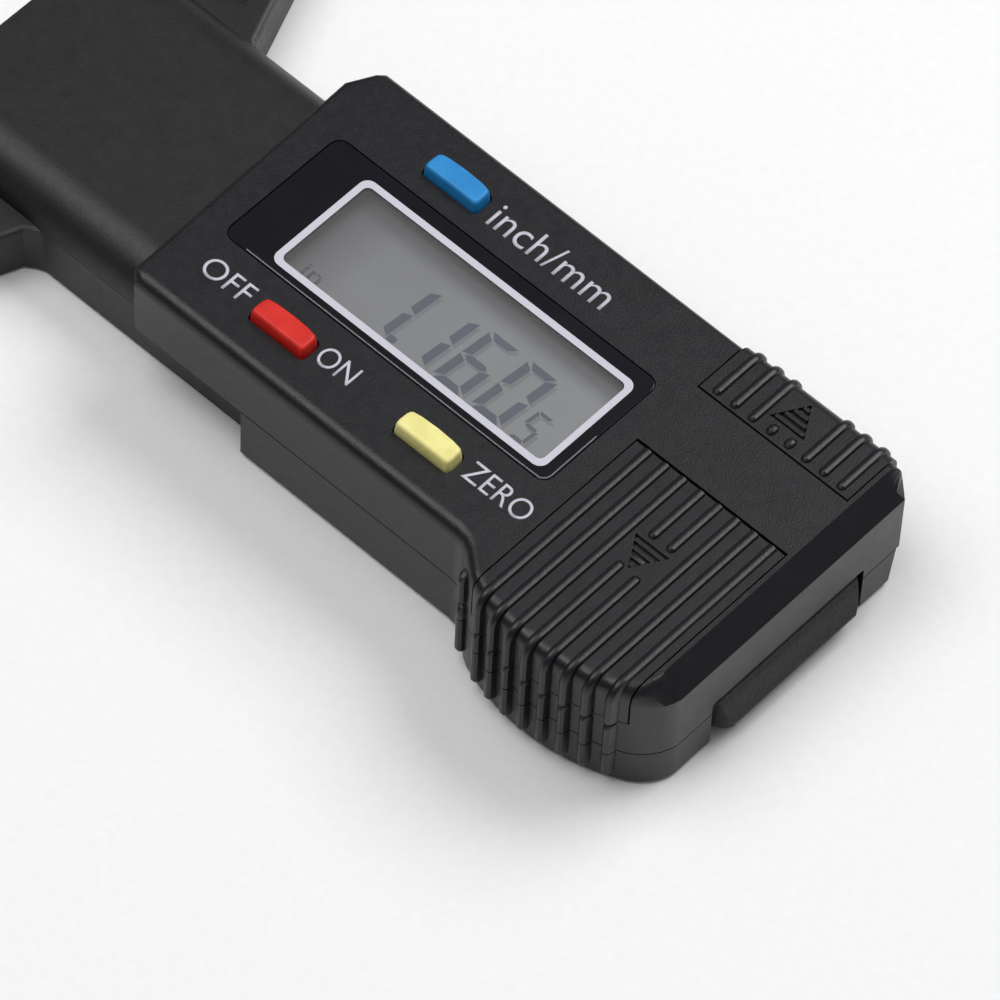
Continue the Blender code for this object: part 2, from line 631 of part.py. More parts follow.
def button_outline(x, y, inset):
    """Long button outline: straight on the -Y side, bowed on the +Y side, small corner radii."""
    half_x = BUTTON_LONG / 2
    half_y = BUTTON_SHORT / 2
    right = [(0.885, -1.0), (0.955, -0.93), (0.990, -0.72), (1.0, -0.40), (0.985, 0.35),
             (0.955, 0.62), (0.880, 0.80), (0.600, 0.93)]
    shape = right + [(0.0, 1.0)] + [(-px, py) for px, py in reversed(right)]
    return [(x + px * (half_x - inset), y + py * (half_y - inset)) for px, py in shape]


def build_buttons():
    colours = {"unit": "blue_button", "power": "red_button", "zero": "yellow_button"}
    for name, x, y in BUTTONS:
        gap = 0.00015
        levels = ((ROOF_UNDER_Z - 0.0003, gap), (TOTAL_HEIGHT, gap),
                  (BUTTON_TOP_Z - 0.00034, gap + 0.00012), (BUTTON_TOP_Z - 0.00012, gap + 0.00020),
                  (BUTTON_TOP_Z - 0.00003, gap + 0.00034), (BUTTON_TOP_Z, gap + 0.00055))
        rings = [[(px, py, z) for px, py in button_outline(x, y, inset)] for z, inset in levels]
        cap = stack("button_" + name, rings)
        foot = 0.0045
        join(cap, box("flange_" + name, x - foot, x + foot, y - 0.0021, y + 0.0021,
                      ROOF_UNDER_Z - 0.0009, ROOF_UNDER_Z - 0.0001, True))
        join(cap, stack("stem_" + name, tube_rings(x, y, (
            (BOARD_TOP_Z + 0.00125, 0.0011), (ROOF_UNDER_Z - 0.0006, 0.0011)), 12), True))
        set_material(cap, colours[name])


# ---- covers and battery -------------------------------------------------------------------
def add_arrow(cover, name, base_y, tip_y, half_width):
    """Sunk triangle with cross bars left standing in it, pointing the way the cover slides."""
    middle = 0.05345
    triangle = [(middle - half_width, base_y), (middle + half_width, base_y), (middle, tip_y)]
    cut(cover, prism(name + "_sink", triangle, TOTAL_HEIGHT - 0.00045, 0.0200, True))
    toward = 1 if tip_y > base_y else -1
    for i in range(4):
        start = base_y + toward * (0.00030 + 0.00082 * i)
        stop = start + toward * 0.00042
        reach = half_width * (tip_y - stop) / (tip_y - base_y) + 0.00004
        y0, y1 = sorted((start, stop))
        join(cover, box("%s_bar_%d" % (name, i), middle - reach, middle + reach, y0, y1,
                        TOTAL_HEIGHT - 0.00070, TOTAL_HEIGHT - 0.00006 + 0.00002 * i, True))


def build_battery_cover():
    cover = box("battery_cover", DOOR[0] + COVER_GAP, DOOR[1] - COVER_GAP, -0.0300,
                DOOR[2] - 0.00034, DOOR_BOTTOM_Z, 0.0200)
    combine(cover, case_shell("door_shape", 0.0050, cutter=True), "INTERSECT")
    under = TOTAL_HEIGHT - COVER_PLATE
    inner = [[(x, y, z) for x, y in plain_inset(0.0013)] for z in (0.0050, under)]
    cut(cover, stack("door_inside", inner, True))
    edge = DOOR[2] - 0.00046
    for i, x in enumerate(rib_positions()):
        start = edge
        plain = True
        if i in (3, 4):
            join(cover, top_rib("door_rib_in_%d" % i, x, -0.00540, edge, True))
            start = -0.00930 - 0.0002 * (i - 3)
            plain = False
        join(cover, wrapped_rib("door_rib_%d" % i, x, start, grip_y(x), GRIP_EDGE_RADIUS, -1,
                                DOOR_BOTTOM_Z + 0.00012, RIB_SIDE, not plain))
    add_arrow(cover, "door_arrow", -0.0059, -0.0094, 0.00218)
    return set_material(cover, "black_plastic")


def build_port_cover():
    cover = box("port_cover", PORT[0] + COVER_GAP, PORT[1] - COVER_GAP, PORT[2] + 0.00022,
                0.0300, PORT_BOTTOM_Z, 0.0200)
    shape = []
    edge = CASE_HALF_Y + 0.0005
    for i in range(7):
        angle = math.radians(90 * i / 6)
        shape.append((edge - 0.0016 + 0.0016 * math.cos(angle),
                      TOTAL_HEIGHT - 0.0016 + 0.0016 * math.sin(angle)))
    shape = [(0.0050, 0.0050), (edge, 0.0050)] + shape + [(0.0050, TOTAL_HEIGHT)]
    combine(cover, prism_x("port_shape", shape, 0.0400, 0.0700, True), "INTERSECT")
    cut(cover, box("port_inside", 0.0400, 0.0700, 0.0050, 0.01650, 0.0050,
                   TOTAL_HEIGHT - COVER_PLATE, True))
    for i, x in enumerate(rib_positions()):
        if i in (3, 4):
            join(cover, top_rib("port_rib_in_%d" % i, x, 0.01130, 0.01265))
        else:
            join(cover, wrapped_rib("port_rib_%d" % i, x, 0.01125, edge, 0.0016, 1,
                                    PORT_BOTTOM_Z + 0.00012, RIB_TOP))
    add_arrow(cover, "port_arrow", 0.0131, 0.0168, 0.00220)
    return set_material(cover, "black_plastic")


def build_battery():
    x, y = CELL_CENTRE
    low, high = CELL_Z
    cell = stack("button_cell", tube_rings(x, y, (
        (low, 0.0042), (low + 0.0003, 0.0046), (low + 0.0006, CELL_RADIUS),
        (high - 0.0003, CELL_RADIUS), (high, CELL_RADIUS - 0.0003)), 28))
    set_material(cell, "nickel")
    minus = box("contact_minus", x - 0.0030, x + 0.0030, y - 0.0022, y + 0.0022,
                CASE_BOTTOM_Z + 0.0008 + 0.00003, low - 0.00006)
    set_material(minus, "nickel")
    plus = box("contact_plus", x - 0.0016, x + 0.0016, -0.00715, -0.00695, 0.0088, 0.0130)
    set_material(plus, "nickel")


def build_port_connector():
    block = box("port_connector", 0.0504, 0.0570, 0.0108, 0.0144, BOARD_TOP_Z + 0.00005, 0.0102)
    cut(block, box("connector_mouth", 0.0511, 0.0563, 0.0120, 0.0160, 0.0082, 0.0096, True))
    return set_material(block, "epoxy_black")


def build_screws():
    for name, x, y in SCREWS:
        levels = ((0.00025, 0.0018), (0.0017, 0.0018), (0.00172, 0.00095), (0.0108, 0.00095),
                  (0.0114, 0.0004))
        screw = stack("case_screw_" + name, tube_rings(x, y, levels, 16))
        cut(screw, box("drive_a_" + name, x - 0.0011, x + 0.0011, y - 0.00022, y + 0.00022,
                       -0.001, 0.0009, True))
        cut(screw, box("drive_b_" + name, x - 0.00022, x + 0.00022, y - 0.0011, y + 0.0011,
                       -0.001, 0.0009, True))
        set_material(screw, "steel")


def main():
    clear_scene()
    build_base()
    build_scale()
    build_probe()
    build_front_case()
    build_back_case()
    build_display()
    build_board()
    build_buttons()
    build_battery_cover()
    build_port_cover()
    build_battery()
    build_port_connector()
    build_screws()


main()
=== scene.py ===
"""Looks for the digital tread depth gauge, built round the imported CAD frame. Metres, Z up."""
import math

import bmesh
import bpy
from mathutils import Matrix, Vector


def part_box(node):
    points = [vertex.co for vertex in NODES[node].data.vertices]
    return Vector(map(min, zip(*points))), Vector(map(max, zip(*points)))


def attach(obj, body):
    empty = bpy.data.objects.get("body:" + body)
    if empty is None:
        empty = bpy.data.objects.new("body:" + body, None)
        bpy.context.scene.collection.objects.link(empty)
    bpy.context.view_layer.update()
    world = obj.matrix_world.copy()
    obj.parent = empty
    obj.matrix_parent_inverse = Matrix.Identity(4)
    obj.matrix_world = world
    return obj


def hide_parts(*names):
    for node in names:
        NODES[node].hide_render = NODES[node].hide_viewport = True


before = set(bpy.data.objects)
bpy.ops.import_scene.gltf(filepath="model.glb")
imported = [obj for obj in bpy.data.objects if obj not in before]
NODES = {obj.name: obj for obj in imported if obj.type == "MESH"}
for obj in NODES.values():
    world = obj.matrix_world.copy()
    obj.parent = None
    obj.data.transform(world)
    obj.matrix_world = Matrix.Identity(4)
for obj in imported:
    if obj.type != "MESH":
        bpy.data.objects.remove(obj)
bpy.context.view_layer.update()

# ---- where things are -------------------------------------------------------------------
LENS_LOW, LENS_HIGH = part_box("lens_window")
PANEL_TOP_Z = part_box("lcd_panel")[1][2]
FACE_Z = LENS_HIGH[2]                    # display face of the case
PANEL_DEPTH = FACE_Z - PANEL_TOP_Z

# ---- camera, solved for the viewing angle -----------------------------------------------
CAMERA_TARGET = Vector((0.03951, -0.01212, 0.01524))
CAMERA_DISTANCE = 0.758
CAMERA_AZIMUTH = math.radians(130.3)
CAMERA_ELEVATION = math.radians(55.37)
CAMERA_ROLL = math.radians(3.2)
CAMERA_LENS_MM = 288.0

# ---- studio -----------------------------------------------------------------------------
FLOOR_HALF = 2.0
FLOOR_Z = -0.0002
SKY_COLOUR = (0.95, 0.97, 1.0, 1.0)
SKY_STRENGTH = 0.18
# name, place, size, power in watts: all aim at the origin
LIGHTS = (("key", (0.16, 0.66, 0.80), (0.6, 0.6), 6.6),
          ("top", (-0.36, -0.26, 1.12), (0.9, 0.8), 7.2),
          ("fill", (0.25, -0.25, 1.20), (0.8, 0.8), 1.7))

# ---- printing on the display face -------------------------------------------------------
PRINT_THICKNESS = 0.00001
PRINT_LIFT = 0.000004                    # clearance of a print from what it is printed on
CAP_RATIO = 0.729                        # capital height of the built-in font at size 1
FRAME_OUTER = (0.00418, 0.03992, -0.00688, 0.00688)
FRAME_INNER = (0.00496, 0.03918, -0.00610, 0.00610)
FRAME_RADIUS = 0.00110
LENS_CORNER = 0.00120

# seven-segment digits on the panel
DIGIT_HEIGHT = 0.0079
DIGIT_WIDTH = 0.0039
DIGIT_BOTTOM_Y = -0.00499
UPRIGHT_STROKE = 0.00095
FLAT_STROKE = 0.00080
DIGIT_SLANT = math.radians(5.0)
SEGMENTS_OF = {"0": "abcdef", "1": "bc", "5": "acdfg", "6": "acdefg"}
MAIN_DIGITS = (("a", "1", 0.01460), ("b", "1", 0.01965), ("c", "6", 0.02470), ("d", "0", 0.02975))
SMALL_DIGIT = (0.03480, 0.0042, 0.0019, 0.00040)     # left, height, width, stroke
GHOST_SHIFT = (0.00042, -0.00030)        # where a bar's shadow falls on the reflector behind it
SIGHT_SHIFT_X = 0.447 * PANEL_DEPTH      # from where a bar is seen through the window to the panel

# words beside the buttons: name, word, left, right, base line, capital height
LABELS = (("label_off", "OFF", 0.00015, 0.00615, -0.0127, 0.0026),
          ("label_on", "ON", 0.01545, 0.01995, -0.0127, 0.0026),
          ("label_zero", "ZERO", 0.03485, 0.04275, -0.0127, 0.0026),
          ("label_unit", "inch/mm", 0.01615, 0.03125, 0.0108, 0.0034))
LETTER_OFFSET = -0.003                   # thins the strokes, at size 1

# ---- softened edges -----------------------------------------------------------------------
SHARP_ANGLE = math.radians(31)
EDGE_WIDTHS = {"t_base": 0.00022, "front_case": 0.00010, "back_case": 0.00012, "battery_cover": 0.00008,
               "port_cover": 0.00008, "button_power": 0.00010, "button_unit": 0.00010,
               "button_zero": 0.00010}


# ---- node helpers -----------------------------------------------------------------------
def new_material(name):
    mat = bpy.data.materials.new(name)
    mat.use_nodes = True
    tree = mat.node_tree
    shader = tree.nodes["Principled BSDF"]
    return mat, tree, shader


def add(tree, kind, **values):
    node = tree.nodes.new(kind)
    for key, value in values.items():
        setattr(node, key, value)
    return node


def object_coords(tree):
    return add(tree, "ShaderNodeTexCoord").outputs["Object"]


def noise(tree, coords, scale, detail=2.0, rough=0.5):
    node = add(tree, "ShaderNodeTexNoise")
    tree.links.new(coords, node.inputs["Vector"])
    node.inputs["Scale"].default_value = scale
    node.inputs["Detail"].default_value = detail
    node.inputs["Roughness"].default_value = rough
    return node.outputs["Fac"]


def ramp(tree, value, stops):
    node = add(tree, "ShaderNodeValToRGB")
    tree.links.new(value, node.inputs["Fac"])
    elements = node.color_ramp.elements
    while len(elements) < len(stops):
        elements.new(0.5)
    for element, (place, colour) in zip(elements, stops):
        element.position = place
        element.color = (*colour, 1.0)
    return node.outputs["Color"]


def grey(value):
    return (value, value, value)


def span(tree, value, low, high):
    node = add(tree, "ShaderNodeMapRange")
    tree.links.new(value, node.inputs["Value"])
    node.inputs["To Min"].default_value = low
    node.inputs["To Max"].default_value = high
    return node.outputs["Result"]


def mix(tree, factor, first, second):
    node = add(tree, "ShaderNodeMix", data_type="RGBA")
    tree.links.new(factor, node.inputs["Factor"])
    for socket, source in ((node.inputs["A"], first), (node.inputs["B"], second)):
        if isinstance(source, tuple):
            socket.default_value = (*source, 1.0)
        else:
            tree.links.new(source, socket)
    return node.outputs["Result"]


def bump(tree, shader, height, strength, distance):
    node = add(tree, "ShaderNodeBump")
    tree.links.new(height, node.inputs["Height"])
    node.inputs["Strength"].default_value = strength
    node.inputs["Distance"].default_value = distance
    tree.links.new(node.outputs["Normal"], shader.inputs["Normal"])
    return node


def specks(tree, coords, scale, size, share):
    """Sparse dust: small dots in some of the cells of a Voronoi pattern."""
    cells = add(tree, "ShaderNodeTexVoronoi")
    tree.links.new(coords, cells.inputs["Vector"])
    cells.inputs["Scale"].default_value = scale
    dots = ramp(tree, cells.outputs["Distance"], [(0.0, grey(1)), (size, grey(0))])
    chosen = ramp(tree, cells.outputs["Color"], [(share, grey(1)), (share + 0.01, grey(0))])
    both = add(tree, "ShaderNodeMath", operation="MULTIPLY")
    tree.links.new(dots, both.inputs[0])
    tree.links.new(chosen, both.inputs[1])
    return both.outputs["Value"]


# ---- materials --------------------------------------------------------------------------
def moulded_plastic(name, dark, light, roughness, grain=5200.0, grain_depth=0.000014, dust=0.05,
                    torn_end=False):
    """Matt moulded plastic with spark-eroded grain, faint mottling and a few dust specks."""
    mat, tree, shader = new_material(name)
    coords = object_coords(tree)
    mottle = noise(tree, coords, 260.0, 3.0, 0.6)
    colour = ramp(tree, mottle, [(0.30, dark), (0.70, light)])
    if dust:
        colour = mix(tree, specks(tree, coords, 420.0, 0.07, dust), colour, (0.11, 0.11, 0.115))
    tree.links.new(colour, shader.inputs["Base Color"])
    fine = noise(tree, coords, grain, 2.0, 0.6)
    patches = noise(tree, coords, 900.0, 2.0, 0.5)
    tree.links.new(span(tree, patches, roughness - 0.06, roughness + 0.08), shader.inputs["Roughness"])
    relief = bump(tree, shader, fine, 0.9, grain_depth)
    shader.inputs["Specular IOR Level"].default_value = 0.44
    if torn_end:
        along = add(tree, "ShaderNodeSeparateXYZ")
        tree.links.new(add(tree, "ShaderNodeTexCoord").outputs["Generated"], along.inputs["Vector"])
        near_end = ramp(tree, along.outputs["X"], [(0.975, grey(0)), (0.982, grey(1))])
        torn = noise(tree, coords, 1500.0, 5.0, 0.75)
        masked = add(tree, "ShaderNodeMath", operation="MULTIPLY")
        tree.links.new(near_end, masked.inputs[0])
        tree.links.new(torn, masked.inputs[1])
        rough = add(tree, "ShaderNodeBump")
        rough.inputs["Strength"].default_value = 1.0
        rough.inputs["Distance"].default_value = 0.0004
        tree.links.new(masked.outputs["Value"], rough.inputs["Height"])
        tree.links.new(rough.outputs["Normal"], relief.inputs["Normal"])
    return mat


def smoked_lens(name):
    mat, tree, shader = new_material(name)
    coords = object_coords(tree)
    film = noise(tree, coords, 60.0, 3.0, 0.6)
    colour = ramp(tree, film, [(0.35, (0.0032, 0.0030, 0.0052)), (0.70, (0.0048, 0.0045, 0.0076))])
    dust_mask = specks(tree, coords, 330.0, 0.05, 0.06)
    tree.links.new(mix(tree, dust_mask, colour, (0.10, 0.10, 0.11)), shader.inputs["Base Color"])
    wipe = noise(tree, coords, 140.0, 4.0, 0.65)
    tree.links.new(span(tree, wipe, 0.16, 0.30), shader.inputs["Roughness"])
    shader.inputs["Specular IOR Level"].default_value = 0.40
    return mat


def clear_sheet(name):
    mat, tree, shader = new_material(name)
    coords = object_coords(tree)
    haze = noise(tree, coords, 120.0, 3.0, 0.6)
    tree.links.new(span(tree, haze, 0.05, 0.12), shader.inputs["Roughness"])
    tree.links.new(ramp(tree, haze, [(0.3, grey(0.70)), (0.7, grey(0.78))]), shader.inputs["Base Color"])
    shader.inputs["Alpha"].default_value = 0.06
    return mat


# Makes the print colours, and also the painted shadow and painted highlight colours.
def ink_and_painted_light(name, dark, light, roughness=0.55):
    mat, tree, shader = new_material(name)
    coords = object_coords(tree)
    cover = noise(tree, coords, 6500.0, 2.0, 0.6)
    tree.links.new(ramp(tree, cover, [(0.25, dark), (0.75, light)]), shader.inputs["Base Color"])
    tree.links.new(span(tree, cover, roughness - 0.08, roughness + 0.08), shader.inputs["Roughness"])
    return mat


def lcd_glass(name):
    mat, tree, shader = new_material(name)
    coords = object_coords(tree)
    fine = noise(tree, coords, 7000.0, 1.0, 0.5)
    wide = noise(tree, coords, 45.0, 2.0, 0.5)
    base = ramp(tree, wide, [(0.35, (0.158, 0.162, 0.172)), (0.65, (0.180, 0.185, 0.194))])
    # Painted shade: the panel is darkened towards the T side and the far (+Y) side, where the bezel walls
    # shade the recessed panel.
    place = add(tree, "ShaderNodeSeparateXYZ")
    tree.links.new(add(tree, "ShaderNodeTexCoord").outputs["Generated"], place.inputs["Vector"])
    painted_shade_t_side = ramp(tree, place.outputs["X"], [(0.05, grey(1)), (0.20, grey(0.25)), (0.60, grey(0))])
    base = mix(tree, painted_shade_t_side, base, (0.060, 0.060, 0.066))
    painted_shade_far_side = ramp(tree, place.outputs["Y"], [(0.74, grey(0)), (0.95, grey(0.75))])
    base = mix(tree, painted_shade_far_side, base, (0.060, 0.060, 0.066))
    tree.links.new(mix(tree, span(tree, fine, 0.0, 0.10), base, (0.10, 0.105, 0.11)),
                   shader.inputs["Base Color"])
    tree.links.new(span(tree, wide, 0.34, 0.44), shader.inputs["Roughness"])
    return mat


def soft_button(name, dark, light):
    mat, tree, shader = new_material(name)
    coords = object_coords(tree)
    tone = noise(tree, coords, 500.0, 3.0, 0.6)
    tree.links.new(ramp(tree, tone, [(0.30, dark), (0.70, light)]), shader.inputs["Base Color"])
    fine = noise(tree, coords, 4200.0, 2.0, 0.5)
    tree.links.new(span(tree, tone, 0.38, 0.52), shader.inputs["Roughness"])
    bump(tree, shader, fine, 0.50, 0.000014)
    shader.inputs["Specular IOR Level"].default_value = 0.36
    return mat


def worked_metal(name, dark, light, rough_low, rough_high, stretch=(1.0, 1.0, 1.0)):
    mat, tree, shader = new_material(name)
    coords = object_coords(tree)
    mapping = add(tree, "ShaderNodeMapping")
    tree.links.new(coords, mapping.inputs["Vector"])
    mapping.inputs["Scale"].default_value = stretch
    lines = noise(tree, mapping.outputs["Vector"], 3000.0, 3.0, 0.6)
    tree.links.new(ramp(tree, lines, [(0.30, dark), (0.70, light)]), shader.inputs["Base Color"])
    tree.links.new(span(tree, lines, rough_low, rough_high), shader.inputs["Roughness"])
    shader.inputs["Metallic"].default_value = 1.0
    bump(tree, shader, lines, 0.20, 0.000006)
    return mat


def circuit_board(name):
    """Solder mask with lighter tracks under it."""
    mat, tree, shader = new_material(name)
    coords = object_coords(tree)
    bricks = add(tree, "ShaderNodeTexBrick")
    tree.links.new(coords, bricks.inputs["Vector"])
    bricks.inputs["Scale"].default_value = 420.0
    bricks.inputs["Mortar Size"].default_value = 0.03
    bricks.inputs["Color1"].default_value = (0.010, 0.105, 0.045, 1.0)
    bricks.inputs["Color2"].default_value = (0.012, 0.125, 0.055, 1.0)
    bricks.inputs["Mortar"].default_value = (0.030, 0.220, 0.095, 1.0)
    tree.links.new(bricks.outputs["Color"], shader.inputs["Base Color"])
    mask = noise(tree, coords, 1500.0, 2.0, 0.5)
    tree.links.new(span(tree, mask, 0.30, 0.45), shader.inputs["Roughness"])
    return mat


def scale_pattern(name):
    """Etched copper bars of the ruler's pickup pattern under a clear coat."""
    mat, tree, shader = new_material(name)
    coords = object_coords(tree)
    wave = add(tree, "ShaderNodeTexWave", wave_type="BANDS", bands_direction="X")
    tree.links.new(coords, wave.inputs["Vector"])
    wave.inputs["Scale"].default_value = 310.0
    bars = ramp(tree, wave.outputs["Fac"], [(0.47, (0.055, 0.090, 0.045)), (0.53, (0.45, 0.25, 0.12))])
    tree.links.new(bars, shader.inputs["Base Color"])
    film = noise(tree, coords, 1200.0, 2.0, 0.5)
    tree.links.new(span(tree, film, 0.25, 0.40), shader.inputs["Roughness"])
    return mat


def studio_floor(name):
    mat, tree, shader = new_material(name)
    coords = object_coords(tree)
    paper = noise(tree, coords, 900.0, 3.0, 0.6)
    tree.links.new(ramp(tree, paper, [(0.2, grey(0.86)), (0.8, grey(0.90))]), shader.inputs["Base Color"])
    tree.links.new(span(tree, paper, 0.80, 0.95), shader.inputs["Roughness"])
    return mat


CASE_BLACK = moulded_plastic("case_black", (0.0044, 0.0042, 0.0060), (0.0066, 0.0063, 0.0086), 0.34, 4200.0,
                             0.000030)
BASE_BLACK = moulded_plastic("base_black", (0.0058, 0.0053, 0.0057), (0.0086, 0.0079, 0.0085), 0.42, 3800.0,
                             0.000020, torn_end=True)
MATERIAL_OF = {
    "t_base": BASE_BLACK,
    "front_case": CASE_BLACK,
    "back_case": CASE_BLACK,
    "battery_cover": CASE_BLACK,
    "port_cover": CASE_BLACK,
    "lcd_panel": lcd_glass("lcd_grey"),
    "lcd_holder": moulded_plastic("holder_white", (0.55, 0.55, 0.54), (0.66, 0.66, 0.65), 0.5, dust=0.0),
    "probe_holder": moulded_plastic("probe_holder_white", (0.50, 0.50, 0.48), (0.62, 0.62, 0.60), 0.5,
                                    dust=0.0),
    "main_board": circuit_board("board_green"),
    "sensor_chip": moulded_plastic("chip_epoxy", (0.008, 0.008, 0.008), (0.014, 0.014, 0.014), 0.3,
                                   dust=0.0),
    "port_connector": moulded_plastic("connector_black", (0.012, 0.012, 0.013), (0.020, 0.020, 0.021), 0.4),
    "scale_strip": scale_pattern("ruler_scale"),
    "probe_rod": worked_metal("ground_steel", grey(0.52), grey(0.68), 0.18, 0.32, (1.0, 0.05, 1.0)),
    "button_cell": worked_metal("cell_nickel", (0.62, 0.60, 0.55), (0.78, 0.76, 0.70), 0.14, 0.26),
    "contact_plus": worked_metal("contact_plus_nickel", (0.60, 0.58, 0.52), (0.75, 0.73, 0.66), 0.16, 0.30),
    "contact_minus": worked_metal("contact_minus_nickel", (0.60, 0.58, 0.52), (0.75, 0.73, 0.66),
                                  0.16, 0.30),
    "button_power": soft_button("button_red", (0.570, 0.012, 0.007), (0.680, 0.020, 0.011)),
    "button_unit": soft_button("button_blue", (0.012, 0.200, 0.520), (0.020, 0.255, 0.600)),
    "button_zero": soft_button("button_yellow", (0.760, 0.690, 0.240), (0.880, 0.820, 0.330)),
}
SCREW_STEEL = worked_metal("screw_steel", grey(0.30), grey(0.45), 0.25, 0.40)
DOME_STEEL = worked_metal("dome_steel", grey(0.55), grey(0.70), 0.16, 0.28)
STRIP_RUBBER = moulded_plastic("zebra_rubber", (0.40, 0.24, 0.26), (0.55, 0.38, 0.40), 0.75, dust=0.0)
INK_WHITE = ink_and_painted_light("ink_white", (0.51, 0.50, 0.57), (0.60, 0.59, 0.67))
INK_SEGMENT = ink_and_painted_light("lcd_segment", (0.025, 0.033, 0.058), (0.032, 0.042, 0.070), 0.35)
# Painted shadow: colour of the segments' shadows on the reflector behind them.
PAINTED_SEGMENT_SHADOW = ink_and_painted_light("lcd_segment_shadow", (0.105, 0.110, 0.122), (0.115, 0.121, 0.134), 0.40)
# Painted highlight: bright colour for the light caught along the lens edge.
PAINTED_EDGE_HIGHLIGHT = ink_and_painted_light("lens_edge_painted_highlight", (0.110, 0.110, 0.118), (0.260, 0.260, 0.275), 0.25)


def smooth_group():
    """Node group for a modifier: smooth shading, with edges over 31 degrees kept sharp."""
    group = bpy.data.node_groups.new("smooth_by_angle", "GeometryNodeTree")
    group.interface.new_socket("Geometry", in_out="INPUT", socket_type="NodeSocketGeometry")
    group.interface.new_socket("Geometry", in_out="OUTPUT", socket_type="NodeSocketGeometry")
    entry = group.nodes.new("NodeGroupInput")
    leave = group.nodes.new("NodeGroupOutput")
    angle = group.nodes.new("GeometryNodeInputMeshEdgeAngle")
    below = group.nodes.new("FunctionNodeCompare")
    below.operation = "LESS_THAN"
    below.inputs["B"].default_value = SHARP_ANGLE
    group.links.new(angle.outputs["Unsigned Angle"], below.inputs["A"])
    faces = group.nodes.new("GeometryNodeSetShadeSmooth")
    edges = group.nodes.new("GeometryNodeSetShadeSmooth")
    edges.domain = "EDGE"
    group.links.new(entry.outputs["Geometry"], faces.inputs["Geometry"])
    group.links.new(faces.outputs["Geometry"], edges.inputs["Geometry"])
    group.links.new(below.outputs["Result"], edges.inputs["Shade Smooth"])
    group.links.new(edges.outputs["Geometry"], leave.inputs["Geometry"])
    return group


def soften_edges():
    """Small moulded radii and smooth shading on the CAD solids, by modifiers only."""
    group = smooth_group()
    for name, obj in NODES.items():
        weld = obj.modifiers.new("weld", "WELD")
        weld.merge_threshold = 0.000001
        flat = obj.modifiers.new("join_flat_faces", "DECIMATE")
        flat.decimate_type = "DISSOLVE"
        flat.angle_limit = math.radians(0.5)
        if name in EDGE_WIDTHS:
            edge = obj.modifiers.new("moulded_edge", "BEVEL")
            edge.width = EDGE_WIDTHS[name]
            edge.segments = 2
            edge.limit_method = "ANGLE"
            edge.angle_limit = SHARP_ANGLE
        shade = obj.modifiers.new("smooth", "NODES")
        shade.node_group = group
        even = obj.modifiers.new("even_normals", "WEIGHTED_NORMAL")
        even.keep_sharp = True
        even.mode = "FACE_AREA_WITH_ANGLE"


def paint_nodes():
    for name, obj in NODES.items():
        if name in MATERIAL_OF:
            mat = MATERIAL_OF[name]
        elif name.startswith("case_screw"):
            mat = SCREW_STEEL
        elif name.startswith("dome_switch"):
            mat = DOME_STEEL
        elif name.startswith("zebra_strip"):
            mat = STRIP_RUBBER
        else:
            continue
        for slot in obj.material_slots:
            slot.material = mat


# ---- mesh helpers -----------------------------------------------------------------------
def mesh_piece(name, verts, faces, mat, body="display_unit", smooth=False):
    mesh = bpy.data.meshes.new(name)
    mesh.from_pydata(verts, [], faces)
    bm = bmesh.new()
    bm.from_mesh(mesh)
    bmesh.ops.recalc_face_normals(bm, faces=bm.faces)
    bm.to_mesh(mesh)
    bm.free()
    mesh.materials.append(mat)
    if smooth:
        for face in mesh.polygons:
            face.use_smooth = True
    obj = bpy.data.objects.new(name, mesh)
    bpy.context.scene.collection.objects.link(obj)
    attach(obj, body)
    return obj


def rounded_rect(x0, x1, y0, y1, radius, steps=6):
    points = []
    corners = ((x1 - radius, y1 - radius, 0), (x0 + radius, y1 - radius, 90),
               (x0 + radius, y0 + radius, 180), (x1 - radius, y0 + radius, 270))
    for cx, cy, start in corners:
        for i in range(steps + 1):
            angle = math.radians(start + 90 * i / steps)
            points.append((cx + radius * math.cos(angle), cy + radius * math.sin(angle)))
    return points


def ring_plate(name, outer, inner, z0, z1, mat):
    """Flat ring between two outlines of equal point count, from z0 to z1."""
    count = len(outer)
    verts = []
    for outline, z in ((outer, z0), (outer, z1), (inner, z1), (inner, z0)):
        verts += [(x, y, z) for x, y in outline]
    faces = []
    for loop in range(4):
        a = loop * count
        b = ((loop + 1) % 4) * count
        for i in range(count):
            j = (i + 1) % count
            faces.append((a + i, a + j, b + j, b + i))
    return mesh_piece(name, verts, faces, mat)


def solid_plate(name, outline, z0, z1, mat):
    count = len(outline)
    verts = [(x, y, z0) for x, y in outline] + [(x, y, z1) for x, y in outline]
    faces = [tuple(range(count)), tuple(range(count, 2 * count))]
    faces += [(i, (i + 1) % count, count + (i + 1) % count, count + i) for i in range(count)]
    return mesh_piece(name, verts, faces, mat)


def edge_strip(name, path, inset, width):
    """Thin raised strip just inside a path that turns to the left, on the display face, coloured as a
    painted highlight.
    """
    verts = []
    count = len(path)
    for i, (x, y) in enumerate(path):
        a = Vector(path[max(i - 1, 0)])
        b = Vector(path[min(i + 1, count - 1)])
        along = (b - a).normalized()
        inward = Vector((-along.y, along.x))
        near = Vector((x, y)) + inward * inset
        far = Vector((x, y)) + inward * (inset + width)
        for point in (near, far):
            verts += [(point.x, point.y, FACE_Z - 0.00006), (point.x, point.y, FACE_Z + 0.000012)]
    faces = [(0, 1, 3, 2), (4 * count - 4, 4 * count - 2, 4 * count - 1, 4 * count - 3)]
    for i in range(count - 1):
        k = 4 * i
        faces += [(k, k + 4, k + 5, k + 1), (k + 1, k + 5, k + 7, k + 3), (k + 3, k + 7, k + 6, k + 2),
                  (k + 2, k + 6, k + 4, k)]
    return mesh_piece(name, verts, faces, PAINTED_EDGE_HIGHLIGHT)


